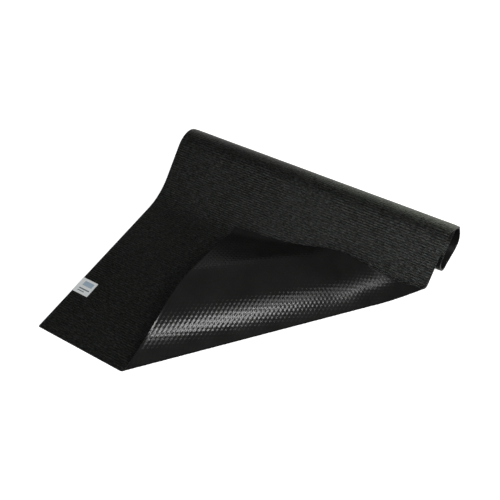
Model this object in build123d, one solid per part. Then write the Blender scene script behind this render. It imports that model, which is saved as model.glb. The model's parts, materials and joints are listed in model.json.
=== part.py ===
from build123d import *
import os
from math import atan2, cos, pi, radians, sin

# ---------------------------------------------------------------------------
# Seedling heat mat, half unrolled: a thin felt-faced heating laminate.
# One end lies on the floor with its front right corner folded back over
# itself, then the laminate climbs a short ramp and is wound into a roll.
# Every layer is the same rectangle of sheet, bent by the same rules, so the
# layers nest exactly.  Sheet coordinates: x across the width, s along the
# length from the front edge, h through the thickness (0 film, 4 felt face).
# Units mm.  +X along the roll, +Y from the front edge to the roll, +Z up.
# ---------------------------------------------------------------------------

# overall sheet
WIDTH = 527.0            # 20 3/4 in
LENGTH = 1219.0          # 48 in
THICK = 4.0

# layers, bottom (film) to top (felt)
H_FILM = (0.0, 0.6)
H_FOAM = (0.6, 1.5)
H_PET_LOW = (1.5, 1.8)
H_ELEMENT = (1.8, 2.05)
H_PET_TOP = (2.05, 2.35)
H_FOIL = (2.35, 2.6)
H_FELT = (2.6, 4.0)
H_CORE = (H_FOAM[0], H_FOIL[1])      # everything sealed between film and felt
H_LABEL = (4.0, 4.4)

# layout inside the sheet
SEAL = 8.0               # welded border all round
BUS_IN = 16.0            # busbar set in from the sheet edge
BUS_W = 12.0
CARBON_END = 30.0        # bare film left at the wired end

# roll
ROLL_R = 39.3            # film-side radius of the outermost turn
PITCH = 4.4              # radius lost per full turn
HALF_TURNS = 6
ROLL_Z = ROLL_R - PITCH / 2 + THICK
LAST_R = ROLL_R - PITCH / 2 * (HALF_TURNS + 1)
END_R = 12.0             # tight hook before the flat, wired end
END_FLAT = 26.0

# ramp from the floor up to the top of the roll
RAMP = radians(42)
FOOT_R = 60.0
RAMP_RISE = ROLL_Z + ROLL_R * cos(RAMP) - FOOT_R * (1 - cos(RAMP))
RAMP_LEN = RAMP_RISE / sin(RAMP)
FLOOR_LEN = 321.7        # front edge to the start of the ramp
ROLL_Y = FLOOR_LEN + FOOT_R * sin(RAMP) + RAMP_LEN * cos(RAMP) + ROLL_R * sin(RAMP)

# folded corner: the fold line runs from the front edge to the right edge
FOLD_X = 158.0
FOLD_Y = 340.0
FOLD_R = 12.0            # film side, outside of the bend
FOLD_ANG = atan2(FOLD_Y, WIDTH - FOLD_X)
E = Vector(cos(FOLD_ANG), sin(FOLD_ANG), 0)      # along the fold line
N = Vector(sin(FOLD_ANG), -cos(FOLD_ANG), 0)     # from the fold line to the corner
A = Vector(FOLD_X, 0, 0)
BEND = pi * FOLD_R

# label near the left edge
LABEL = (0.0, 32.0, 83.0, 114.0)                 # x0, x1, s0, s1

# terminal block on the film side of the wired end
BOX_X = 12.0
BOX_L, BOX_W, BOX_H = 60.0, 24.0, 11.0
WALL = 1.6
PAD = 0.5
LID = 1.8
CONTACT_X = (BUS_IN + BUS_W / 2, 62.0)
CONTACT_S = LENGTH - 16.0
PIN_D = 3.0
CORD_D = 6.0
BORE_Z = PAD + 5.8


# ---------------------------------------------------------------- side profile
def segments():
    """(length, curvature) along the film face; positive curvature turns upward."""
    runs = [(FLOOR_LEN, 0), (FOOT_R * RAMP, 1 / FOOT_R), (RAMP_LEN, 0)]
    runs.append((ROLL_R * (RAMP + pi / 2), -1 / ROLL_R))
    for k in range(1, HALF_TURNS + 1):
        r = ROLL_R - PITCH / 2 * k
        runs.append((pi * r, -1 / r))
    runs.append((LAST_R * pi / 2, -1 / LAST_R))
    hook = LENGTH - END_FLAT - sum(length for length, _ in runs)
    runs.append((hook, -1 / END_R))
    runs.append((END_FLAT, 0))
    return runs


SEGMENTS = segments()


def station(s):
    """Position (y, z) and heading of the film face at sheet distance s."""
    y = z = heading = 0.0
    for length, k in SEGMENTS:
        step = min(max(s, 0.0), length)
        turn = k * step
        if k:
            y += (sin(heading + turn) - sin(heading)) / k
            z += (cos(heading) - cos(heading + turn)) / k
        else:
            y += step * cos(heading)
            z += step * sin(heading)
        heading += turn
        s -= length
        if s <= 0:
            break
    return y, z, heading


def at(x, s, h):
    y, z, heading = station(s)
    return Vector(x, y - h * sin(heading), z + h * cos(heading))


def run_edges(x, s0, s1, h):
    """Lines and arcs of one face of a layer, from s0 to s1, at height h."""
    edges, start = [], 0.0
    for length, k in SEGMENTS:
        a, b = max(s0, start), min(s1, start + length)
        if b - a > 1e-6:
            p, m, q = at(x, a, h), at(x, (a + b) / 2, h), at(x, b, h)
            edges.append(Edge.make_three_point_arc(p, m, q) if k else Edge.make_line(p, q))
        start += length
    return edges


# ------------------------------------------------------------- folded corner
def clip(poly, limit, keep_above):
    """Cut a polygon of (a, t) points at t = limit."""
    sign = 1 if keep_above else -1
    out = []
    for (a0, t0), (a1, t1) in zip(poly, poly[1:] + poly[:1]):
        d0, d1 = sign * (t0 - limit), sign * (t1 - limit)
        if d0 >= 0:
            out.append((a0, t0))
        if d0 * d1 < 0:
            f = d0 / (d0 - d1)
            out.append((a0 + f * (a1 - a0), limit))
    return out


def fold_frame(x, s):
    """Sheet point as (a along the fold line, t past it)."""
    d = Vector(x, s, 0) - A
    return d.dot(E), d.dot(N)


def bend_part(poly, h0, h1):
    """Half-round bend; the sheet's edges run up it on a slant."""
    ring_plane = Plane(origin=A + Vector(0, 0, FOLD_R), x_dir=N, z_dir=E)
    with BuildSketch(ring_plane) as ring:
        Circle(FOLD_R - h0)
        Circle(FOLD_R - h1, mode=Mode.SUBTRACT)
        with Locations((FOLD_R, 0)):
            Rectangle(2 * FOLD_R, 2 * FOLD_R + 2, mode=Mode.INTERSECT)
    tube = extrude(ring.sketch, 620, both=True)
    low = sorted(a for a, t in poly if abs(t) < 1e-6)
    top = sorted(a for a, t in poly if abs(t - BEND) < 1e-6)
    lift = (2 * FOLD_R - 2 * THICK) / BEND
    outline = [(a, THICK + lift * t) for a, t in poly]
    shape = None
    bands = [outline]
    if len(low) > 1:
        bands.append([(low[0], -1), (low[-1], -1), (low[-1], THICK), (low[0], THICK)])
    if len(top) > 1:
        z0, z1 = 2 * FOLD_R - THICK, 2 * FOLD_R + 1
        bands.append([(top[0], z0), (top[-1], z0), (top[-1], z1), (top[0], z1)])
    for band in bands:
        pts = [A + E * a + Vector(0, 0, z) for a, z in band]
        slab = extrude(Face(Wire.make_polygon(pts, close=True)), 3 * FOLD_R, dir=tuple(N))
        slab = slab.moved(Location(N * -1.0))
        shape = slab if shape is None else shape + slab
    return tube & shape


def flap_part(poly, h0, h1):
    """The corner lying flat above the sheet, film side up."""
    z = 2 * FOLD_R - h1
    pts = [A + E * a - N * (t - BEND) + Vector(0, 0, z) for a, t in poly]
    return extrude(Face(Wire.make_polygon(pts, close=True)), h1 - h0, dir=(0, 0, 1))


def layer(x0, x1, s0, s1, h):
    """One piece of laminate: the rectangle x0..x1, s0..s1 between heights h."""
    h0, h1 = h
    low, top = run_edges(x0, s0, s1, h0), run_edges(x0, s0, s1, h1)
    ends = [Edge.make_line(at(x0, s, h0), at(x0, s, h1)) for s in (s0, s1)]
    body = extrude(Face(Wire(low + top + ends)), x1 - x0, dir=(1, 0, 0))
    poly = [fold_frame(x, s) for x, s in ((x0, s0), (x1, s0), (x1, s1), (x0, s1))]
    past = clip(poly, 0.0, True)
    if len(past) > 2 and max(t for _, t in past) > 0.1:
        corner = [A - E * 60, A - E * 60 + N * 700, A + E * 700 + N * 700, A + E * 700]
        prism = Face(Wire.make_polygon([p + Vector(0, 0, -5) for p in corner], close=True))
        body = body - extrude(prism, 200, dir=(0, 0, 1))
        body = body + bend_part(clip(past, BEND, False), h0, h1)
        beyond = clip(past, BEND, True)
        if len(beyond) > 2:
            body = body + flap_part(beyond, h0, h1)
    return body


def inner(h, inset=SEAL):
    return layer(inset, WIDTH - inset, inset, LENGTH - inset, h)


# ----------------------------------------------------------- terminal block
END = at(0, LENGTH - 1, 0)
END_HEADING = station(LENGTH)[2]
# local frame on the film face: X across the mat, Y from its end inward, Z off the film
BOX_PLANE = Plane(origin=END, x_dir=(1, 0, 0),
                  z_dir=(0, sin(END_HEADING), -cos(END_HEADING)))
BOX_MID = (BOX_X + BOX_L / 2, BOX_W / 2)
CONTACT_Y = LENGTH - 1 - CONTACT_S
SCREWS = ((BOX_X + 5.0, 5.0), (BOX_X + BOX_L - 5.0, 5.0))
FLOOR_TOP = PAD + WALL
LID_Z = PAD + BOX_H
SPLICE_X = (28.0, 50.5)
SPLICE_Y = 18.5
CORD_Y = BOX_MID[1] + 3.0


def rod(points, d):
    """A round lead following straight runs with rounded corners."""
    path = FilletPolyline(*points, radius=d)
    start = Plane(origin=path @ 0, z_dir=path % 0)
    return sweep(start * Circle(d / 2), path=path)


def cyl(x, y, z0, z1, d):
    return Pos(x, y, (z0 + z1) / 2) * Cylinder(d / 2, z1 - z0)


def cyl_x(x0, x1, y, z, d):
    return Pos((x0 + x1) / 2, y, z) * Rot(0, 90, 0) * Cylinder(d / 2, x1 - x0)


def bond_pad():
    pad = Pos(BOX_MID[0], BOX_MID[1], PAD / 2) * Box(BOX_L, BOX_W, PAD)
    for x in CONTACT_X:
        pad -= cyl(x, CONTACT_Y, -1, 2, PIN_D + 0.4)
    return pad


def terminal_base():
    tub = Pos(BOX_MID[0], BOX_MID[1], PAD + BOX_H / 2) * Box(BOX_L, BOX_W, BOX_H)
    tub = fillet(tub.edges().filter_by(Axis.Z), 2.5)
    room = Pos(BOX_MID[0], BOX_MID[1], FLOOR_TOP + BOX_H / 2)
    tub -= room * Box(BOX_L - 2 * WALL, BOX_W - 2 * WALL, BOX_H)
    for x, y in SCREWS:
        tub += cyl(x, y, FLOOR_TOP - 0.2, LID_Z, 5.0)
        tub -= cyl(x, y, FLOOR_TOP + 0.6, LID_Z + 1, 1.8)
    tub -= cyl_x(BOX_X - 1, BOX_X + WALL + 1, CORD_Y, BORE_Z, 7.6)
    for x in CONTACT_X:
        tub -= cyl(x, CONTACT_Y, -1, FLOOR_TOP + 1, PIN_D + 0.4)
    return tub


def terminal_cover():
    lid = Pos(BOX_MID[0], BOX_MID[1], LID_Z + LID / 2) * Box(BOX_L, BOX_W, LID)
    lid = fillet(lid.edges().filter_by(Axis.Z), 2.5)
    lid = chamfer(lid.faces().sort_by(Axis.Z)[-1].edges(), 0.5)
    lip = Pos(BOX_MID[0], BOX_MID[1], LID_Z - 0.5)
    ring = lip * Box(BOX_L - 2 * WALL - 0.4, BOX_W - 2 * WALL - 0.4, 1.0)
    ring -= lip * Box(BOX_L - 2 * WALL - 2.8, BOX_W - 2 * WALL - 2.8, 1.2)
    for x, y in SCREWS:
        ring -= cyl(x, y, LID_Z - 2, LID_Z + 2, 7.2)
    lid += ring
    for x, y in SCREWS:
        lid -= cyl(x, y, LID_Z - 2, LID_Z + LID + 1, 2.3)
        lid -= cyl(x, y, LID_Z + LID - 0.9, LID_Z + LID + 1, 4.4)
    return lid


def terminal_screw(x, y):
    head = cyl(x, y, LID_Z + LID - 0.9, LID_Z + LID + 0.3, 4.0)
    shank = cyl(x, y, FLOOR_TOP + 1.2, LID_Z + LID - 0.8, 1.8)
    screw = head + shank
    for turn in (0, 90):
        screw -= Pos(x, y, LID_Z + LID + 0.1) * Rot(0, 0, turn) * Box(2.4, 0.6, 0.8)
    return screw


def inlet_grommet():
    bush = cyl_x(BOX_X - 1.8, BOX_X, CORD_Y, BORE_Z, 10.6)
    bush += cyl_x(BOX_X - 0.1, BOX_X + WALL + 0.1, CORD_Y, BORE_Z, 7.6)
    bush += cyl_x(BOX_X + WALL, BOX_X + WALL + 1.2, CORD_Y, BORE_Z, 8.3)
    return bush - cyl_x(BOX_X - 3, BOX_X + WALL + 3, CORD_Y, BORE_Z, CORD_D)


def contact_pin(x):
    """Rivet from the conductor up into the box, with a flat solder tag."""
    pin = cyl(x, CONTACT_Y, -H_ELEMENT[0], FLOOR_TOP + 0.6, PIN_D)
    tag = Pos(x, CONTACT_Y, FLOOR_TOP + 0.3) * Box(6.0, 6.0, 0.6)
    return pin + tag


TAG_Z = FLOOR_TOP + 0.6
FUSE = (34.0, 46.0, 9.0, FLOOR_TOP + 2.4)        # x0, x1, y, z


def thermal_fuse():
    x0, x1, y, z = FUSE
    can = cyl_x(x0, x1, y, z, 4.0)
    return fillet(can.edges(), 0.5)


def fuse_lead():
    """From the left contact to the fuse."""
    x0, _, y, z = FUSE
    x = CONTACT_X[0]
    return rod([(x, CONTACT_Y, TAG_Z), (x, CONTACT_Y, z + 0.4), (x, y, z + 0.4), (x0, y, z + 0.4)], 1.0)


def splice_cap(x):
    """Closed-end crimp that takes one core of the supply cord."""
    return fillet(cyl_x(x, x + 9, SPLICE_Y, FUSE[3], 3.6).edges(), 0.6)


def line_lead():
    """From the fuse to the first splice."""
    _, x1, y, z = FUSE
    x = x1 + 1.8
    return rod([(x1, y, z), (x, y, z), (x, SPLICE_Y, z), (SPLICE_X[0] + 9.1, SPLICE_Y, z)], 1.0)


def return_wire():
    """From the right contact to the second splice."""
    x = CONTACT_X[1]
    z = FUSE[3]
    return rod([(x, CONTACT_Y, TAG_Z), (x, CONTACT_Y, z), (x, SPLICE_Y, z),
                (SPLICE_X[1] + 9.1, SPLICE_Y, z)], 1.0)


# ------------------------------------------------------------------ assembly
def through_pins(body):
    """Clearance holes where the two contact pins pass."""
    for x in CONTACT_X:
        hole = BOX_PLANE.location * cyl(x, CONTACT_Y, -H_PET_LOW[1] - 0.01, 1, PIN_D + 0.2)
        body = body - hole
    return body


def build_all():
    full = (0.0, WIDTH, 0.0, LENGTH)
    end = LENGTH - BUS_IN + 6
    nodes = {
        "base_film": through_pins(layer(*full, H_FILM)),
        "insulation_foam": through_pins(inner(H_FOAM)),
        "element_base_film": through_pins(inner(H_PET_LOW)),
        "carbon_layer": layer(BUS_IN + BUS_W, WIDTH - BUS_IN - BUS_W, BUS_IN,
                              LENGTH - CARBON_END, H_ELEMENT),
        "busbar_left": layer(BUS_IN, BUS_IN + BUS_W, BUS_IN, end, H_ELEMENT),
        "busbar_right": layer(WIDTH - BUS_IN - BUS_W, WIDTH - BUS_IN, BUS_IN, end, H_ELEMENT),
        "return_strip": layer(CONTACT_X[1] - 6, WIDTH - BUS_IN - BUS_W, LENGTH - 22,
                              LENGTH - 10, H_ELEMENT),
        "element_cover_film": inner(H_PET_TOP),
        "heat_spreader_foil": inner(H_FOIL),
        "edge_seal": layer(*full, H_CORE) - inner(H_CORE),
        "felt_cover": layer(*full, H_FELT),
        "edge_label": layer(*LABEL, H_LABEL),
    }
    local = {
        "bond_pad": bond_pad(),
        "terminal_base": terminal_base(),
        "terminal_cover": terminal_cover(),
        "terminal_screw": Compound([terminal_screw(x, y) for x, y in SCREWS]),
        "inlet_grommet": inlet_grommet(),
        "contact_pin": Compound([contact_pin(x) for x in CONTACT_X]),
        "thermal_fuse": thermal_fuse(),
        "fuse_lead": fuse_lead(),
        "splice_cap": Compound([splice_cap(x) for x in SPLICE_X]),
        "line_lead": line_lead(),
        "return_wire": return_wire(),
    }
    for name, shape in local.items():
        nodes[name] = BOX_PLANE.location * shape
    boxes = [shape.bounding_box() for shape in nodes.values()]
    x0, x1 = min(b.min.X for b in boxes), max(b.max.X for b in boxes)
    y0, y1 = min(b.min.Y for b in boxes), max(b.max.Y for b in boxes)
    centre = Vector((x0 + x1) / 2, (y0 + y1) / 2, 0)
    return {k: v.moved(Location(centre * -1)) for k, v in nodes.items()}, centre


if __name__ == "__main__":
    os.makedirs("parts", exist_ok=True)
    shapes, centre = build_all()
    print("sheet corner (x=0, s=0) ends up at", -centre)
    for name, shape in shapes.items():
        export_step(shape, f"parts/{name}.step")
        b = shape.bounding_box()
        print(f"{name:20s} vol {shape.volume:10.1f}  solids {len(shape.solids())} "
              f"valid {shape.is_valid}  z {b.min.Z:.2f}..{b.max.Z:.2f}")
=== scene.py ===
import bpy, json
import numpy as np
from math import atan2, cos, pi, radians, sin, tan
from mathutils import Matrix, Vector

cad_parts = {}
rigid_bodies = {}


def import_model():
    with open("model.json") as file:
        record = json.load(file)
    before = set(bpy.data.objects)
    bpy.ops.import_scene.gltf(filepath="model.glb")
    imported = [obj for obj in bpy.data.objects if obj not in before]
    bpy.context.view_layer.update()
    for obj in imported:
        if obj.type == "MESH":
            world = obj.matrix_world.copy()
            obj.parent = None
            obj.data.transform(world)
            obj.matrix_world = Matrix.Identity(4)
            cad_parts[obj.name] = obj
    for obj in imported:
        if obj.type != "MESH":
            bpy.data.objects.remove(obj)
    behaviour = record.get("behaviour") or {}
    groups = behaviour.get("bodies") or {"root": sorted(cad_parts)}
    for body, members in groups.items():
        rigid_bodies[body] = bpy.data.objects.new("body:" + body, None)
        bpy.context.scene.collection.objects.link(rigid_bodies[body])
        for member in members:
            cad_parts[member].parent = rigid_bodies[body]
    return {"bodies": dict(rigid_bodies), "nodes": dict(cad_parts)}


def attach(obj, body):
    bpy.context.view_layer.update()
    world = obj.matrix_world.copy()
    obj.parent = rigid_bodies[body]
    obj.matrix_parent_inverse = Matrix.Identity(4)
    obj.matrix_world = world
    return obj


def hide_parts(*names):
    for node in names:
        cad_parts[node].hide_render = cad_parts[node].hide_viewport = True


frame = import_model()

for o in [o for o in bpy.data.objects if o.name in ("Cube", "Light", "Camera")]:
    bpy.data.objects.remove(o)

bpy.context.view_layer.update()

# ---------------------------------------------------------------------------
# One sheet mapping shared by every layer.  x across the mat, s along it from
# the front edge, h through it (0 film face, 4 felt face); all in mm here.
# ---------------------------------------------------------------------------
W, L, T = 527.0, 1219.0, 4.0
ROLL_R, PITCH, HALF = 39.3, 4.4, 6
ROLL_Z = ROLL_R - PITCH / 2 + T
RAMP = radians(42)
# the CAD sheet turns up on a 60 mm radius; the soft one is rounder, and SLACK moves
# its front edge forward so that the roll stays where it is
FOOT, CAD_FOOT, CAD_FLOOR = 105.0, 60.0, 321.7
SLACK = (FOOT - CAD_FOOT) * (2 * tan(RAMP / 2) - RAMP)
FLOOR = CAD_FLOOR - (FOOT - CAD_FOOT) * tan(RAMP / 2) + SLACK
RAMP_LEN = (ROLL_Z + ROLL_R * cos(RAMP) - FOOT * (1 - cos(RAMP))) / sin(RAMP)
OFF = np.array([-266.53, -242.917 - SLACK, 0.0])

LAST = ROLL_R - PITCH / 2 * (HALF + 1)
RUNS = [(FLOOR, 0), (FOOT * RAMP, 1 / FOOT), (RAMP_LEN, 0), (ROLL_R * (RAMP + pi / 2), -1 / ROLL_R)]
RUNS += [(pi * (ROLL_R - PITCH / 2 * k), -1 / (ROLL_R - PITCH / 2 * k)) for k in range(1, HALF + 1)]
RUNS += [(LAST * pi / 2, -1 / LAST)]
RUNS += [(L - 26 - sum(r[0] for r in RUNS), -1 / 12.0), (26.0, 0)]
ROLL_START = FLOOR + FOOT * RAMP + RAMP_LEN

# folded corner: fold line from (FX, 0) to (W, FS); a along it, t past it
FX, FS = 162.0, 381.7
PHI = atan2(FS, W - FX)
CF, SF = cos(PHI), sin(PHI)
LINE = (W - FX) / CF
BEND_R, BEND_A, BEND_B = 6.0, radians(111.9), radians(143.5)
BULGE_R, BULGE_T, TAIL = 106.5, radians(76.0), -0.00086


def profile(s):
    """y, z and heading of the film face along the mat."""
    s = np.asarray(s, float)
    y, z, head = s.copy(), np.zeros_like(s), np.zeros_like(s)
    y0 = z0 = h0 = s0 = 0.0
    for i, (n, k) in enumerate(RUNS):
        last = i == len(RUNS) - 1
        m = (s >= s0) if last else (s >= s0) & (s < s0 + n)
        d = s[m] - s0
        if k:
            y[m] = y0 + (np.sin(h0 + k * d) - sin(h0)) / k
            z[m] = z0 + (cos(h0) - np.cos(h0 + k * d)) / k
            head[m] = h0 + k * d
            y0 += (sin(h0 + k * n) - sin(h0)) / k
            z0 += (cos(h0) - cos(h0 + k * n)) / k
            h0 += k * n
        else:
            y[m], z[m], head[m] = y0 + d * cos(h0), z0 + d * sin(h0), h0
            y0, z0 = y0 + n * cos(h0), z0 + n * sin(h0)
        s0 += n
    return y, z, head


def flap_profile(t, turn):
    """Section across the fold: a tight bend, a springy bulge, a nearly flat tail."""
    r, big, k = BEND_R, BULGE_R, TAIL
    th = np.minimum(t / r, turn)
    u, z = r * np.sin(th), r * (1 - np.cos(th))
    d = np.clip(t - r * turn, 0, big * BULGE_T)
    h = turn + d / big
    u = u + big * (np.sin(h) - np.sin(turn))
    z = z + big * (np.cos(turn) - np.cos(h))
    d = np.maximum(t - r * turn - big * BULGE_T, 0)
    u = u + (np.sin(h + k * d) - np.sin(h)) / k
    z = z + (np.cos(h) - np.cos(h + k * d)) / k
    return u, z


def ramp_height(y):
    """Height and slope of the film face of the mat under a point."""
    end = FLOOR + FOOT * sin(RAMP)
    arc = FOOT - np.sqrt(np.maximum(FOOT ** 2 - np.clip(y - FLOOR, 0, FOOT * sin(RAMP)) ** 2, 0))
    line = FOOT * (1 - cos(RAMP)) + (y - end) * np.tan(RAMP)
    z = np.where(y < end, arc, line)
    slope = np.where(y < end, np.arcsin(np.clip((y - FLOOR) / FOOT, 0, 1)), RAMP)
    return z, slope


# how far the winding's right end stands out, along the mat: (distance, mm)
STAND = ((462, 0), (512, 10), (555, 17), (602, 13), (660, 5), (1219, 4))


def eased(s, points):
    """Smooth steps through the given points."""
    out = np.full_like(s, points[0][1], dtype=float)
    for (a, va), (b, vb) in zip(points, points[1:]):
        k = np.clip((s - a) / (b - a), 0, 1)
        out += (vb - va) * k * k * (3 - 2 * k)
    return out


def film_face(x, s):
    x, s = np.broadcast_arrays(np.asarray(x, float), np.asarray(s, float))
    shape = x.shape
    x, s = x.ravel(), s.ravel()
    t = (x - FX) * SF - s * CF
    a = (x - FX) * CF + s * SF
    y, z, _ = profile(s)
    # the right end of the winding stands out past the edge of the ramp
    out = np.stack([x + eased(s, STAND) * (x / W) ** 2, y, z], 1)
    m = (t > 0) & (s < FS + 5)
    if m.any():
        am, tm = a[m], t[m]
        yf, zf, hf = profile(am * SF)
        g = np.clip(am / LINE, 0, 1)
        # away from the crease the flap turns up the ramp more gently than the sheet below it
        q, b = np.clip((am * SF - 255) / (FS - 255), 0, 1), np.clip(tm / 45, 0, 1)
        soft = RAMP * q * q * (3 - 2 * q)
        hf = hf + (soft - hf) * b * b * (3 - 2 * b)
        u, w = flap_profile(tm, BEND_A + (BEND_B - BEND_A) * g)
        tau = np.stack([np.full_like(hf, SF), -CF * np.cos(hf), -CF * np.sin(hf)], 1)
        nu = np.stack([0 * hf, -np.sin(hf), np.cos(hf)], 1)
        p = np.stack([FX + am * CF, yf, zf], 1) + u[:, None] * tau + w[:, None] * nu
        zr, slope = ramp_height(p[:, 1])
        rest = zr + (2 * T + 0.4) / np.cos(slope)
        d = p[:, 2] - rest
        lifted = rest + 0.5 * (d + np.sqrt(d * d + 36.0))
        p[:, 2] += (lifted - p[:, 2]) * np.clip((-u - 20) / 40, 0, 1)
        out[m] = p
    return out.reshape(shape + (3,))


def place(x, s, h):
    """Sheet point to the row frame, in mm."""
    x, s, h = np.broadcast_arrays(np.asarray(x, float), np.asarray(s, float), np.asarray(h, float))
    step = 0.05
    p = film_face(x, s)
    dx = film_face(x + step, s) - film_face(x - step, s)
    ds = film_face(x, s + step) - film_face(x, s - step)
    n = np.cross(dx, ds)
    n /= np.maximum(np.linalg.norm(n, axis=-1, keepdims=True), 1e-12)
    return p + h[..., None] * n + OFF


# ---------------------------------------------------------------------------
# meshes: each layer is a closed slab over up to three grids that share edges
# ---------------------------------------------------------------------------
def link(name, mesh):
    ob = bpy.data.objects.new(name, mesh)
    bpy.context.scene.collection.objects.link(ob)
    return ob


def slab(name, grids, low, high, relief_low=None, relief_high=None):
    """Closed solid between heights low and high over grids of (x, s) points.
    Grids are arrays [rows, cols, 2]; shared boundary points are merged."""
    pts, quads = [], []
    base = 0
    for g in grids:
        r, c = g.shape[:2]
        idx = base + np.arange(r * c).reshape(r, c)
        quads.append(np.stack([idx[:-1, :-1], idx[:-1, 1:], idx[1:, 1:], idx[1:, :-1]], -1).reshape(-1, 4))
        pts.append(g.reshape(-1, 2))
        base += r * c
    pts, quads = np.concatenate(pts), np.concatenate(quads)
    key = np.round(pts * 200).astype(np.int64)
    _, first, inverse = np.unique(key, axis=0, return_index=True, return_inverse=True)
    inverse = inverse.ravel()
    pts, quads = pts[first], inverse[quads]
    # keep every quad turning the same way seen from the felt side
    a, b, c = pts[quads[:, 0]], pts[quads[:, 1]], pts[quads[:, 2]]
    d = pts[quads[:, 3]]
    area = (c - a)[:, 0] * (d - b)[:, 1] - (c - a)[:, 1] * (d - b)[:, 0]
    quads[area < 0] = quads[area < 0][:, ::-1]
    quads = quads[np.abs(area) > 1e-7]
    x, s = pts[:, 0], pts[:, 1]
    lo = low + (relief_low(x, s) if relief_low else 0 * x)
    hi = high + (relief_high(x, s) if relief_high else 0 * x)
    v = np.concatenate([place(x, s, lo), place(x, s, hi)]) / 1000
    n = len(pts)
    # an edge that no neighbour walks the other way is on the rim, and gets a side face
    edges = np.concatenate([quads[:, [i, (i + 1) % 4]] for i in range(4)])
    edges = edges[edges[:, 0] != edges[:, 1]]
    code = edges[:, 0].astype(np.int64) * n + edges[:, 1]
    back = edges[:, 1].astype(np.int64) * n + edges[:, 0]
    rim = edges[~np.isin(code, back)]
    side = np.stack([rim[:, 0], rim[:, 1], rim[:, 1] + n, rim[:, 0] + n], 1)
    faces = []
    for q in np.concatenate([quads[:, ::-1], quads + n, side]).tolist():
        f = [q[i] for i in range(4) if q[i] != q[i - 1]]
        if len(f) > 2:
            faces.append(f)
    mesh = bpy.data.meshes.new(name)
    mesh.from_pydata(v.tolist(), [], faces)
    mesh.validate()
    mesh.update()
    # sheet coordinates, in metres, for the materials
    uv = mesh.attributes.new("sheet", "FLOAT_VECTOR", "POINT")
    co = np.concatenate([np.stack([x, s, lo], 1), np.stack([x, s, hi], 1)]) / 1000
    uv.data.foreach_set("vector", co.astype(np.float32).ravel())
    mesh.polygons.foreach_set("use_smooth", [True] * len(mesh.polygons))
    mesh.set_sharp_from_angle(angle=radians(45))
    return link(name, mesh)


def fold_x(s):
    return FX + s * (W - FX) / FS


def stations(lo, hi, step):
    n = max(2, int(round((hi - lo) / step)) + 1)
    return np.unique(np.round(np.linspace(lo, hi, n), 4))


SEEN = ROLL_START + RUNS[3][0] + 8


def roll_rows(s0, s1, fine, arc=5.0):
    """Rows for the wound part: close together on the turn that shows, then a few degrees apart."""
    rows, start = [s0], 0.0
    for n, k in RUNS:
        a, b = max(s0, start), min(s1, start + n)
        if b - a > 1e-6:
            m = max(2, int(np.ceil(abs(k) * (b - a) / radians(arc)))) if k else max(2, int((b - a) / 4))
            if a < SEEN and fine < 3:
                m = int(np.ceil((b - a) / fine)) if b < SEEN + 1 else m
            rows += list(np.linspace(a, b, m + 1)[1:])
        start += n
    return np.unique(np.round(rows, 4))


def sheet_grids(x0, x1, s0, s1, cols, row_front, row_ramp, fold_t):
    """Grids for the rectangle x0..x1, s0..s1 of the sheet."""
    grids = []
    # fold line points inside the rectangle
    sa, sb = max(s0, (x0 - FX) * FS / (W - FX)), min(s1, (x1 - FX) * FS / (W - FX))
    xi = np.linspace(0, 1, cols + 1)
    if sb > sa:
        rows = stations(sa, sb, row_front)
        if s0 < sa:
            below = stations(s0, sa, row_front)
            right = np.minimum(fold_x(below), x1)
            # what lies past the fold line here belongs to the last grid
            keep = right > x0 + 1e-6
            if keep.any():
                grids.append(np.stack([x0 + xi[None] * (right[keep] - x0)[:, None],
                                       np.repeat(below[keep][:, None], cols + 1, 1)], -1))
        right = np.minimum(fold_x(rows), x1)
        grids.append(np.stack([x0 + xi[None] * (right - x0)[:, None],
                               np.repeat(rows[:, None], cols + 1, 1)], -1))
        wound = roll_rows(max(sb, ROLL_START), s1, row_ramp)[1:] if s1 > ROLL_START else []
        above = np.concatenate([stations(sb, min(s1, ROLL_START), row_ramp), wound])
        if s1 > sb + 1e-6:
            grids.append(np.stack([np.repeat((x0 + xi * (x1 - x0))[None], len(above), 0),
                                   np.repeat(above[:, None], cols + 1, 1)], -1))
        # past the fold: rows parallel to the fold line
        corner = (x1 - FX) * SF - s0 * CF
        near = BEND_R * 2.6
        t_rows = np.unique(np.round(np.concatenate([np.linspace(0, near, 15),
                                                    stations(near, corner, fold_t)]), 4))
        t_rows = t_rows[t_rows <= corner + 1e-6]
        # a range at each t: s >= s0, x <= x1, x >= x0
        lo = np.maximum((s0 + t_rows * CF) / SF, (x0 - FX - t_rows * SF) / CF)
        hi = np.minimum((x1 - FX - t_rows * SF) / CF, (s1 + t_rows * CF) / SF)
        f = (rows - sa) / (sb - sa)
        a = lo[:, None] + f[None] * (hi - lo)[:, None]
        X = FX + a * CF + t_rows[:, None] * SF
        S = a * SF - t_rows[:, None] * CF
        grids.append(np.stack([X, S], -1))
    else:
        rows = stations(s0, min(s1, ROLL_START), row_front) if s0 < ROLL_START else np.array([])
        if s1 > ROLL_START:
            rows = np.unique(np.concatenate([rows, roll_rows(max(s0, ROLL_START), s1, row_ramp)]))
        grids.append(np.stack([np.repeat((x0 + xi * (x1 - x0))[None], len(rows), 0),
                               np.repeat(rows[:, None], cols + 1, 1)], -1))
    return grids


# relief of the two outer faces
def ribs(x, s):
    """Fine cross ribs of the needled felt, with a little unevenness."""
    wob = 0.5 * np.sin(x * 0.021 + 1.3) + 0.35 * np.sin(x * 0.053 + s * 0.011)
    r = 0.26 * np.sin(2 * pi * (s + wob) / 4.2)
    soft = 0.10 * np.sin(x * 0.019 + s * 0.043) * np.sin(x * 0.047 - s * 0.031 + 0.7)
    edge = np.minimum.reduce([x, W - x, s, L - s])
    return (r + soft) * np.clip(edge / 3, 0, 1) - 0.35 * np.clip(1 - edge / 1.5, 0, 1)


BUMP, ROW = 7.2, 6.2


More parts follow.
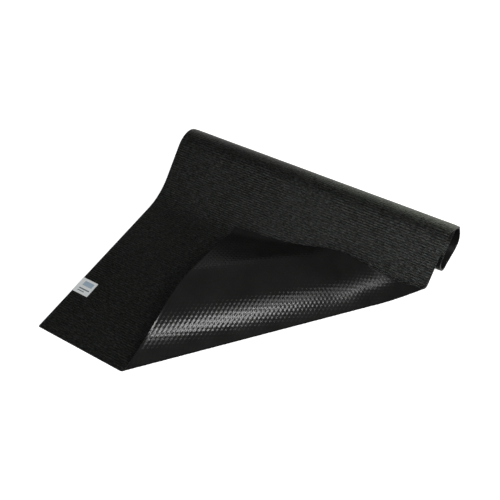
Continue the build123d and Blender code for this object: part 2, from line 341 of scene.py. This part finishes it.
def bumps(x, s):
    """Round pimples in a staggered pattern; their tips are at the film's full thickness."""
    row = np.round(s / ROW)
    best = np.full_like(x, 9.0)
    for dr in (-1, 0, 1):
        r = row + dr
        shift = np.where(np.mod(r, 2) > 0.5, BUMP / 2, 0.0)
        cx = np.round((x - shift) / BUMP) * BUMP + shift
        best = np.minimum(best, np.hypot(x - cx, s - r * ROW))
    q = np.clip(1 - best / 3.7, 0, 1)
    edge = np.minimum.reduce([x, W - x, s, L - s])
    return 0.28 * (1 - q * q * (3 - 2 * q)) * np.clip(edge / 2, 0, 1)


# ---------------------------------------------------------------------------
# materials
# ---------------------------------------------------------------------------
class Nodes:
    """Short helpers for building a node material."""

    def __init__(self, name):
        self.mat = bpy.data.materials.new(name)
        self.mat.use_nodes = True
        self.tree = self.mat.node_tree
        self.bsdf = self.tree.nodes["Principled BSDF"]

    def add(self, kind, **inputs):
        n = self.tree.nodes.new(kind)
        for k, v in inputs.items():
            self.put(n, k, v)
        return n

    def put(self, node, key, value):
        by_number = key[0] == "i" and key[1:].isdigit()
        sock = node.inputs[int(key[1:]) if by_number else key.replace("_", " ")]
        if isinstance(value, bpy.types.NodeSocket):
            self.tree.links.new(value, sock)
        else:
            sock.default_value = value

    def coords(self, attr=None, scale=(1, 1, 1)):
        if attr:
            src = self.add("ShaderNodeAttribute")
            src.attribute_name = attr
            out = src.outputs["Vector"]
        else:
            out = self.add("ShaderNodeTexCoord").outputs["Object"]
        m = self.add("ShaderNodeMapping")
        self.put(m, "Vector", out)
        m.inputs["Scale"].default_value = scale
        return m.outputs["Vector"]

    def noise(self, vec, scale, detail=3.0, rough=0.6):
        n = self.add("ShaderNodeTexNoise", Vector=vec, Scale=scale, Detail=detail, Roughness=rough)
        return n.outputs["Fac"]

    def math(self, op, a, b=0.0, clamp=False):
        n = self.add("ShaderNodeMath")
        n.operation = op
        n.use_clamp = clamp
        self.put(n, "i0", a)
        self.put(n, "i1", b)
        return n.outputs[0]

    def ramp(self, fac, stops):
        n = self.add("ShaderNodeValToRGB", Fac=fac)
        e = n.color_ramp.elements
        while len(e) < len(stops):
            e.new(0.5)
        for el, (p, c) in zip(e, stops):
            el.position, el.color = p, tuple(c) + (1,) if len(c) == 3 else c
        return n.outputs["Color"]

    def remap(self, fac, lo, hi, a=0.0, b=1.0):
        n = self.add("ShaderNodeMapRange", Value=fac)
        n.inputs["From Min"].default_value, n.inputs["From Max"].default_value = a, b
        n.inputs["To Min"].default_value, n.inputs["To Max"].default_value = lo, hi
        return n.outputs["Result"]

    def bump(self, height, strength, distance):
        n = self.add("ShaderNodeBump", Height=height)
        n.inputs["Strength"].default_value = strength
        n.inputs["Distance"].default_value = distance
        self.put(self.bsdf, "Normal", n.outputs["Normal"])


def felt_material():
    m = Nodes("needled_felt")
    v = m.coords("sheet")
    fibre = m.noise(m.coords("sheet", (170, 680, 1)), 1.0, 4, 0.75)
    tuft = m.noise(m.coords("sheet", (50, 300, 1)), 1.0, 2, 0.6)
    patch = m.noise(v, 9.0, 2, 0.5)
    hue = m.noise(m.coords("sheet", (140, 260, 1)), 1.0, 2, 0.6)
    mix = m.math("ADD", m.math("MULTIPLY", fibre, 0.8), m.math("MULTIPLY", tuft, 0.2))
    fleck = m.ramp(mix, [(0.42, (0.0032, 0.0035, 0.0030)), (0.54, (0.0038, 0.0042, 0.0036)),
                         (0.64, (0.0054, 0.0060, 0.0056))])
    tone = m.add("ShaderNodeMixRGB", Color1=fleck)
    tone.blend_type = "MULTIPLY"
    tone.inputs["Fac"].default_value = 1.0
    m.put(tone, "Color2", m.ramp(patch, [(0.3, (0.85, 0.85, 0.85)), (0.7, (1.1, 1.1, 1.08))]))
    m.put(m.bsdf, "Base_Color", tone.outputs["Color"])
    m.put(m.bsdf, "Roughness", m.remap(tuft, 0.30, 0.40, 0.35, 0.65))
    along = m.add("ShaderNodeSeparateXYZ", Vector=v).outputs["Y"]
    # painted shade: dark grooves between the ribs, made by lowering the gloss there, broken up here and
    # there
    turn = m.math("ADD", m.math("MULTIPLY", along, 2 * pi / 0.0042), m.math("MULTIPLY", hue, 2.0))
    painted_groove_shade = m.math("MULTIPLY", m.remap(m.math("SINE", turn), 1.0, 0.0, -0.95, 0.1),
                    m.remap(patch, 0.55, 1.0, 0.4, 0.6))
    # a tone adjustment, not a known property: less gloss on the open part than on the rise, a painted
    # highlight that makes the rise look brighter than the flat
    gloss = m.math("MULTIPLY", m.remap(mix, 0.14, 0.80, 0.44, 0.62), m.remap(along, 0.75, 1.15, 0.14, 0.36))
    m.put(m.bsdf, "Specular_IOR_Level", m.math("MULTIPLY", gloss, m.remap(painted_groove_shade, 1.12, 0.30)))
    m.put(m.bsdf, "Specular_Tint", m.ramp(hue, [(0.35, (1.0, 0.93, 0.86)), (0.5, (0.95, 1.0, 0.95)),
                                                (0.65, (0.84, 0.98, 1.0))]))
    m.bsdf.inputs["Sheen Weight"].default_value = 0.11
    m.bsdf.inputs["Sheen Roughness"].default_value = 0.28
    m.bsdf.inputs["Sheen Tint"].default_value = (0.84, 0.84, 0.66, 1)
    # a tone adjustment, not a known property: weaker nap where the mat is wound
    pile = m.math("ADD", fibre, m.math("MULTIPLY", tuft, 0.6))
    nap = m.math("MULTIPLY", pile, m.remap(along, 0.8, 0.35, 0.455, 0.495))
    m.bump(nap, 1.0, 0.0014)
    return m.mat


def film_material():
    m = Nodes("embossed_film")
    v = m.coords("sheet")
    grain = m.noise(m.coords("sheet", (900, 900, 1)), 1.0, 2, 0.6)
    smear = m.noise(v, 26.0, 4, 0.6)
    black = m.ramp(smear, [(0.3, (0.0092, 0.0092, 0.0089)), (0.75, (0.0142, 0.0142, 0.0138))])
    m.put(m.bsdf, "Base_Color", black)
    # a tone adjustment, not a known property: the film is duller towards the right edge, rougher and with a
    # lower specular level; the lower specular level is painted shade that dims the highlight at that end
    side = m.add("ShaderNodeSeparateXYZ", Vector=v).outputs["X"]
    dull = m.math("ADD", m.remap(smear, 0.15, 0.21, 0.3, 0.75), m.remap(side, 0.0, 0.06, 0.41, 0.49))
    m.put(m.bsdf, "Roughness", dull)
    m.put(m.bsdf, "Specular_IOR_Level", m.remap(side, 0.5, 0.25, 0.42, 0.49))
    m.bsdf.inputs["IOR"].default_value = 1.32
    m.bump(m.math("ADD", m.math("MULTIPLY", grain, 0.5), smear), 0.12, 0.0004)
    return m.mat


def simple(name, stops, rough=(0.4, 0.6), scale=60.0, metallic=0.0, attr=None, stretch=(1, 1, 1), bump=0.1,
           detail=4.0):
    """Mottled surface: two or three tones, uneven gloss and a fine grain."""
    m = Nodes(name)
    v = m.coords(attr, stretch)
    n = m.noise(v, scale, detail)
    f = m.noise(v, scale * 9, 2)
    m.put(m.bsdf, "Base_Color", m.ramp(n, stops))
    m.put(m.bsdf, "Roughness", m.remap(f, rough[0], rough[1], 0.3, 0.7))
    m.bsdf.inputs["Metallic"].default_value = metallic
    m.bump(m.math("ADD", n, f), bump, 0.0004)
    return m.mat


def carbon_material():
    m = Nodes("printed_carbon")
    v = m.coords("sheet")
    w = m.add("ShaderNodeTexWave", Vector=v, Scale=15.9, Distortion=0.0)
    w.bands_direction = "Y"
    n = m.noise(v, 300.0, 3)
    stripe = m.ramp(w.outputs["Fac"], [(0.30, (0.20, 0.21, 0.21)), (0.36, (0.018, 0.018, 0.02))])
    tint = m.add("ShaderNodeMixRGB", Color1=stripe)
    tint.blend_type = "MULTIPLY"
    tint.inputs["Fac"].default_value = 0.5
    m.put(tint, "Color2", m.ramp(n, [(0.3, (0.7, 0.7, 0.7)), (0.7, (1, 1, 1))]))
    m.put(m.bsdf, "Base_Color", tint.outputs["Color"])
    m.put(m.bsdf, "Roughness", m.remap(n, 0.45, 0.65, 0.3, 0.7))
    return m.mat


def label_material():
    """Pale satin label: a soft blue bar over a few grey rules, no lettering."""
    m = Nodes("edge_label_print")
    v = m.coords("sheet")
    sep = m.add("ShaderNodeSeparateXYZ", Vector=v)
    x = m.math("DIVIDE", m.math("SUBTRACT", sep.outputs["X"], 0.004), 0.028)
    y = m.math("DIVIDE", m.math("SUBTRACT", sep.outputs["Y"], 0.083), 0.031)

    def band(c, lo, hi):
        return m.math("MULTIPLY", m.math("GREATER_THAN", c, lo), m.math("LESS_THAN", c, hi))

    fleck = m.noise(m.coords("sheet", (1, 1, 1)), 900.0, 2)
    blur = m.math("ADD", y, m.math("MULTIPLY", m.math("SUBTRACT", fleck, 0.5), 0.03))
    blue = m.math("MULTIPLY", band(blur, 0.55, 0.86), band(x, 0.16, 0.84))
    rule = m.math("ADD", m.math("MULTIPLY", band(blur, 0.30, 0.37), band(x, 0.12, 0.86)),
                  m.math("MULTIPLY", band(blur, 0.16, 0.21), band(x, 0.12, 0.60)))
    paper = m.ramp(fleck, [(0.3, (0.72, 0.75, 0.76)), (0.7, (0.86, 0.89, 0.89))])
    one = m.add("ShaderNodeMixRGB", Fac=m.math("MULTIPLY", blue, 0.6), Color1=paper,
                Color2=(0.10, 0.26, 0.42, 1))
    two = m.add("ShaderNodeMixRGB", Fac=m.math("MULTIPLY", rule, 0.9), Color1=one.outputs["Color"],
                Color2=(0.03, 0.05, 0.08, 1))
    m.put(m.bsdf, "Base_Color", two.outputs["Color"])
    m.put(m.bsdf, "Roughness", m.remap(fleck, 0.35, 0.5, 0.3, 0.7))
    m.bump(fleck, 0.15, 0.0002)
    return m.mat


MATS = {
    "felt": felt_material(),
    "film": film_material(),
    "foam": simple("closed_cell_foam", [(0.35, (0.60, 0.60, 0.58)), (0.7, (0.78, 0.78, 0.75))],
                   (0.7, 0.95), 400, bump=0.5),
    "pet": simple("polyester_film", [(0.3, (0.62, 0.66, 0.70)), (0.7, (0.80, 0.83, 0.86))],
                  (0.12, 0.3), 30),
    "carbon": carbon_material(),
    "copper": simple("copper_foil", [(0.3, (0.55, 0.26, 0.14)), (0.7, (0.78, 0.42, 0.27))],
                     (0.2, 0.45), 120,
                     1.0, stretch=(6, 0.4, 1)),
    "foil": simple("rolled_foil", [(0.3, (0.66, 0.67, 0.68)), (0.7, (0.82, 0.83, 0.84))], (0.18, 0.4), 90,
                   1.0, stretch=(0.3, 5, 1)),
    "seal": simple("weld_bead", [(0.3, (0.010, 0.010, 0.011)), (0.7, (0.028, 0.028, 0.028))],
                   (0.5, 0.8), 250, bump=0.5),
    "label": label_material(),
    "shell": simple("spark_textured_plastic", [(0.3, (0.010, 0.010, 0.011)), (0.7, (0.022, 0.022, 0.024))],
                    (0.45, 0.65), 900, bump=0.35),
    "tape": simple("foam_tape", [(0.3, (0.05, 0.05, 0.05)), (0.7, (0.10, 0.10, 0.10))],
                   (0.8, 0.95), 700, bump=0.4),
    "zinc": simple("zinc_plate", [(0.3, (0.50, 0.50, 0.49)), (0.7, (0.68, 0.68, 0.66))],
                   (0.25, 0.45), 500, 1.0),
    "rubber": simple("moulded_rubber", [(0.3, (0.012, 0.012, 0.012)), (0.7, (0.03, 0.03, 0.03))],
                     (0.6, 0.85), 500, bump=0.25),
    "brass": simple("tinned_brass", [(0.3, (0.60, 0.50, 0.33)), (0.7, (0.78, 0.68, 0.48))],
                    (0.2, 0.4), 500, 1.0),
    "can": simple("drawn_can", [(0.3, (0.58, 0.58, 0.58)), (0.7, (0.74, 0.74, 0.74))], (0.2, 0.4), 300, 1.0,
                  stretch=(0.2, 3, 3)),
    "red": simple("red_silicone", [(0.3, (0.34, 0.02, 0.02)), (0.7, (0.50, 0.05, 0.04))],
                  (0.45, 0.65), 400, bump=0.15),
    "blue": simple("blue_silicone", [(0.3, (0.03, 0.08, 0.30)), (0.7, (0.06, 0.13, 0.42))],
                   (0.45, 0.65), 400, bump=0.15),
    "nylon": simple("clear_nylon", [(0.3, (0.60, 0.56, 0.46)), (0.7, (0.74, 0.70, 0.60))],
                    (0.25, 0.45), 300, bump=0.1),
}

# ---------------------------------------------------------------------------
# the laminate
# ---------------------------------------------------------------------------
H = {"film": (0.0, 0.6), "foam": (0.6, 1.5), "pet_low": (1.5, 1.8), "element": (1.8, 2.05),
     "pet_top": (2.05, 2.35), "foil": (2.35, 2.6), "felt": (2.6, 4.0), "core": (0.6, 2.6)}
SEAL, BUS_IN, BUS_W = 8.0, 16.0, 12.0
BODY = sorted(frame["bodies"])[0]


def finish_piece(ob, node, mat):
    ob.data.materials.append(MATS[mat])
    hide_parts(node)
    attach(ob, BODY)
    return ob


def layer(name, node, mat, slot, x0, x1, s0, s1, h, cols=60, row=4.0, fold=4.0, **relief):
    ob = slab(name, sheet_grids(x0, x1, s0, s1, cols, row, row, fold), h[0], h[1], **relief)
    return finish_piece(ob, node, mat)


felt = layer("felt_face", "felt_cover", "felt", "felt_cover", 0, W, 0, L, H["felt"],
             cols=64, row=1.05, fold=3.0, relief_high=ribs)
film = layer("embossed_base_film", "base_film", "film", "base_film", 0, W, 0, L, H["film"],
             cols=64, row=1.3, fold=1.3, relief_low=bumps)
inner = (SEAL, W - SEAL, SEAL, L - SEAL)
for name, node, mat, h in (("foam_layer", "insulation_foam", "foam", "foam"),
                           ("lower_polyester", "element_base_film", "pet", "pet_low"),
                           ("upper_polyester", "element_cover_film", "pet", "pet_top"),
                           ("spreader_foil", "heat_spreader_foil", "foil", "foil")):
    layer(name, node, mat, node, *inner, H[h], cols=40)
end = L - BUS_IN + 6
inside = BUS_IN + BUS_W
layer("carbon_print", "carbon_layer", "carbon", "carbon_layer",
                  inside, W - inside, BUS_IN, L - 30, H["element"], cols=40)
layer("left_busbar", "busbar_left", "copper", "busbar",
                  BUS_IN, inside, BUS_IN, end, H["element"], cols=2)
layer("right_busbar", "busbar_right", "copper", "busbar",
                  W - inside, W - BUS_IN, BUS_IN, end, H["element"], cols=2)
layer("return_conductor", "return_strip", "copper", "busbar",
                  56.0, W - inside, L - 22, L - 10, H["element"], cols=30)


def frame_of_strips(name, h):
    """The welded border: four strips in one mesh."""
    strips = ((0, SEAL, 0, L), (W - SEAL, W, 0, L), (SEAL, W - SEAL, 0, SEAL), (SEAL, W - SEAL, L - SEAL, L))
    parts = [slab(name + str(i), sheet_grids(*r, 4 if r[1] - r[0] < 20 else 60, 2.0, 2.0, 2.0), *h)
             for i, r in enumerate(strips)]
    with bpy.context.temp_override(active_object=parts[0], object=parts[0], selected_objects=parts,
                                   selected_editable_objects=parts):
        bpy.ops.object.join()
    parts[0].name = name
    return parts[0]


seal = finish_piece(frame_of_strips("welded_border", H["core"]), "edge_seal", "seal")
label = slab("printed_edge_label", sheet_grids(0.0, 32.0, 83.0, 114.0, 12, 2.0, 2.0, 2.0), 4.0, 4.4)
finish_piece(label, "edge_label", "label")

NODE_MATS = {"bond_pad": "tape", "terminal_base": "shell", "terminal_cover": "shell",
             "terminal_screw": "zinc",
             "inlet_grommet": "rubber", "contact_pin": "brass", "thermal_fuse": "can", "fuse_lead": "red",
             "line_lead": "red", "return_wire": "blue", "splice_cap": "nylon"}
for name, key in NODE_MATS.items():
    mesh = frame["nodes"][name].data
    mesh.materials.clear()
    mesh.materials.append(MATS[key])

# ---------------------------------------------------------------------------
# floor, light, camera
# ---------------------------------------------------------------------------


def floor_piece():
    """Pale studio paper: flat round the mat, swept up far away so that no horizon shows."""
    n, half = 65, 7.0
    g = np.linspace(-1, 1, n)
    swept = {(a, b): 1.2 * max(0.0, half * float(np.hypot(a, b)) - 3.2) ** 1.6 for b in g for a in g}
    v = [(half * a, half * b, z) for (a, b), z in swept.items()]
    f = [(k, k + 1, k + n + 1, k + n) for j in range(n - 1) for k in range(j * n, j * n + n - 1)]
    mesh = bpy.data.meshes.new("studio_floor")
    mesh.from_pydata(v, [], f)
    mesh.polygons.foreach_set("use_smooth", [True] * len(mesh.polygons))
    ob = link("studio_floor", mesh)
    m = Nodes("floor_paper")
    n = m.noise(m.coords(None), 90.0, 4)
    m.put(m.bsdf, "Base_Color", m.ramp(n, [(0.3, (0.58, 0.58, 0.58)), (0.7, (0.62, 0.62, 0.62))]))
    m.put(m.bsdf, "Roughness", m.remap(n, 0.85, 1.0, 0.3, 0.7))
    m.bsdf.inputs["Specular IOR Level"].default_value = 0.1
    m.bsdf.inputs["Emission Color"].default_value = (1, 1, 1, 1)
    m.bsdf.inputs["Emission Strength"].default_value = 0.92
    ob.data.materials.append(m.mat)
    # the paper shows and takes shadows, but neither lights the mat nor shows in its gloss
    ob.visible_glossy = False
    ob.visible_diffuse = False
    ob.visible_shadow = False
    return ob


floor_piece()


def softbox(name, at, along, size, power):
    """Rectangular light aimed at the object, its long side running towards along."""
    light = bpy.data.lights.new(name, "AREA")
    light.shape = "RECTANGLE"
    light.size, light.size_y = size
    light.energy = power
    ob = bpy.data.objects.new(name, light)
    ob.visible_camera = False
    bpy.context.scene.collection.objects.link(ob)
    z = Vector(at).normalized()
    y = z.cross(Vector(along)).normalized()
    ob.matrix_world = Matrix.Translation(at) @ Matrix((y.cross(z), y, z)).transposed().to_4x4()
    return ob


softbox("key_front", (1.448, -0.912, 1.72), (-0.417, 0.909, 0.0), (0.95, 0.25), 19)
softbox("key_back", (1.115, -0.184, 1.80), (-0.417, 0.909, 0.0), (0.70, 0.28), 3.4)
softbox("front_fill", (0.75, -1.50, 1.47), (1.0, 0.12, 0.0), (1.3, 1.1), 12.5)
softbox("rim_box", (0.40, 2.1, 0.48), (1.0, 0.0, 0.0), (1.5, 0.40), 8).data.color = (0.93, 1.0, 0.80)

def soft_step(tree, source, lo, hi, low, high):
    """Smooth step from low to high as source runs from lo to hi."""
    n = tree.nodes.new("ShaderNodeMapRange")
    n.interpolation_type = "SMOOTHSTEP"
    for key, value in (("From Min", lo), ("From Max", hi), ("To Min", low), ("To Max", high)):
        n.inputs[key].default_value = value
    tree.links.new(source, n.inputs["Value"])
    return n.outputs["Result"]


def studio_world():
    """A dim room, paler at the horizon, and dark below it except behind the mat."""
    world = bpy.data.worlds.new("studio")
    bpy.context.scene.world = world
    world.use_nodes = True
    tree = world.node_tree

    def math(op, *values):
        n = tree.nodes.new("ShaderNodeMath")
        n.operation = op
        for socket, value in zip(n.inputs, values):
            if isinstance(value, bpy.types.NodeSocket):
                tree.links.new(value, socket)
            else:
                socket.default_value = value
        return n.outputs[0]

    split = tree.nodes.new("ShaderNodeSeparateXYZ")
    tree.links.new(tree.nodes.new("ShaderNodeTexCoord").outputs["Generated"], split.inputs["Vector"])
    y, z = split.outputs["Y"], split.outputs["Z"]
    room = soft_step(tree, math("MULTIPLY_ADD", y, -0.13, z), 0.0, 0.13, 0.80, 0.18)
    below = soft_step(tree, z, -0.12, 0.02, 0.10, 1.0)
    behind = soft_step(tree, y, 0.0, 0.35, 0.0, 1.0)
    background = tree.nodes["Background"]
    tree.links.new(math("MULTIPLY", room, math("MAXIMUM", below, behind)), background.inputs["Strength"])
    background.inputs["Color"].default_value = (1, 1, 1, 1)


studio_world()
bpy.context.scene.view_settings.view_transform = "Standard"

# camera: where it stands, in metres, and the way it looks back
STANDS_AT = (0.29576, -0.54220, 0.83123)
AZ, EL = radians(29.33), radians(49.92)
cam = bpy.data.objects.new("photo_camera", bpy.data.cameras.new("photo_camera"))
bpy.context.scene.collection.objects.link(cam)
cam.data.lens = 43.2
cam.data.sensor_width = 36.0
cam.data.clip_start, cam.data.clip_end = 0.01, 50
back = Vector((sin(AZ) * cos(EL), -cos(AZ) * cos(EL), sin(EL)))
right = Vector((cos(AZ), sin(AZ), 0.0))
up = back.cross(right)
turned = Matrix((right, up, back)).transposed().to_4x4()
cam.matrix_world = Matrix.Translation(STANDS_AT) @ turned
bpy.context.scene.camera = cam
